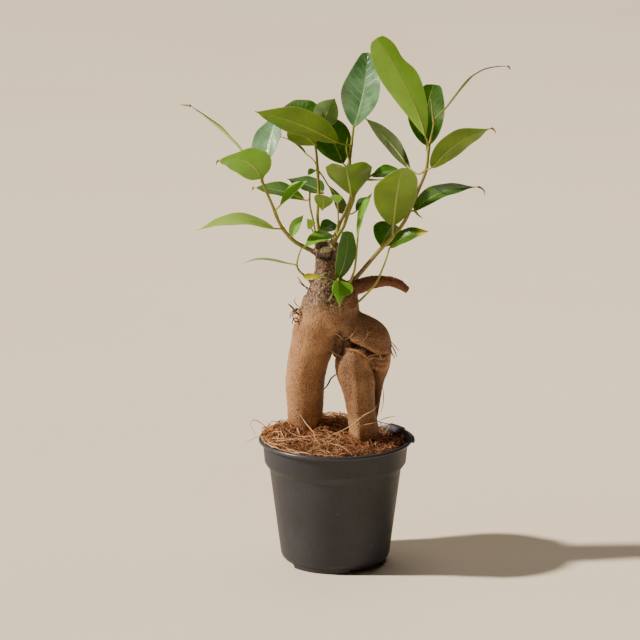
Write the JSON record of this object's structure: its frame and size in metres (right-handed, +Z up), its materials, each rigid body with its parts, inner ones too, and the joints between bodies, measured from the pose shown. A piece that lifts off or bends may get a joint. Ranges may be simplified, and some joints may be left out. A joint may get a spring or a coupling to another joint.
{
  "type": "potted ficus bonsai",
  "caption": "Small ficus bonsai on thick root legs with a loose crown of glossy oval leaves, planted in coir in a thin round nursery pot with a flared lip.",
  "frame": {"origin": "centre of the pot's foot, on the surface that the pot stands on", "axes": "+Z up along the pot's axis, -Y towards the front, +X to the right seen from the front"},
  "size_m": [0.2583, 0.12, 0.4222],
  "materials": {
    "pot_plastic": "satin moulded polypropylene, dark grey, slightly dusty",
    "coir": "loose reddish brown coconut fibre with pale strands",
    "bark": "thin tan bark with small corky pores, rough and nubbly at the neck",
    "leaf": "leathery leaves, glossy dark green above and matt olive below",
    "young_leaf": "young leaves and shoots, satin, bright yellowish green"
  },
  "bodies": {
    "root": {"pot": "pot_plastic", "soil": "coir", "trunk": "bark", "branch_left": "leaf", "twig_left": "leaf", "branch_centre_back": "leaf", "branch_centre_front": "leaf", "branch_right": "leaf", "shoot_centre": "young_leaf", "shoot_thin": "young_leaf", "shoot_yellow": "young_leaf", "shoot_front": "young_leaf", "shoot_upright": "young_leaf"}
  },
  "joints": []
}
